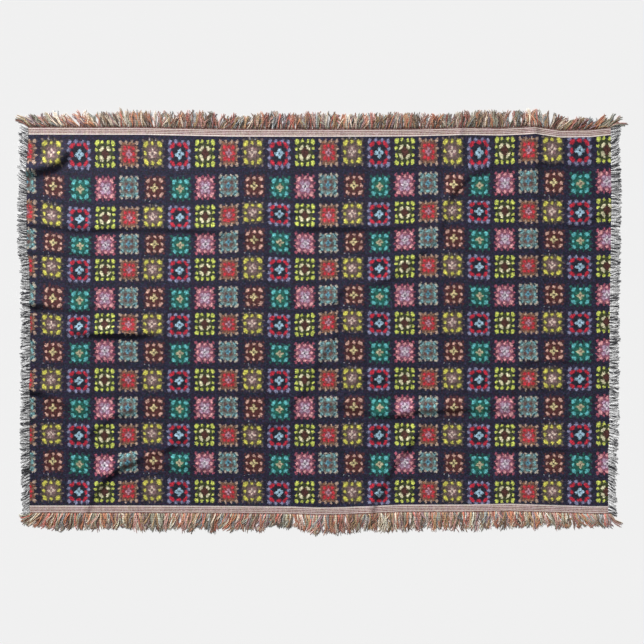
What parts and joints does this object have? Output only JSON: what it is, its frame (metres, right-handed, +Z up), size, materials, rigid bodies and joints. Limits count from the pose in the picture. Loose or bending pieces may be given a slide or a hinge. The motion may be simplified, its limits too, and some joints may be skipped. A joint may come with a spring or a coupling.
{
  "type": "granny square throw blanket",
  "caption": "Woven throw blanket patterned with granny squares, laid flat with soft folds, with a woven heading on its long edges and fringe all round.",
  "frame": {"origin": "on the surface that the throw lies on, under the middle of its whole outline", "axes": "+X along the long edges, to the right in the picture; +Y towards the top edge in the picture; +Z up from the face of the cloth"},
  "size_m": [1.368, 0.9718, 0.0152],
  "materials": {
    "woven_cloth": "matt jacquard woven cotton, granny squares on a dark navy ground",
    "heading_band": "matt plain woven cotton band, pale pink and beige",
    "mixed_fringe": "matt twisted cotton yarn in mixed rust, pink, cream and grey green",
    "black_white_fringe": "matt twisted cotton yarn, black and white"
  },
  "bodies": {
    "root": {"woven_panel": "woven_cloth", "top_heading": "heading_band", "bottom_heading": "heading_band", "top_fringe": "mixed_fringe", "bottom_fringe": "mixed_fringe", "left_fringe": "black_white_fringe", "right_fringe": "black_white_fringe"}
  },
  "joints": []
}
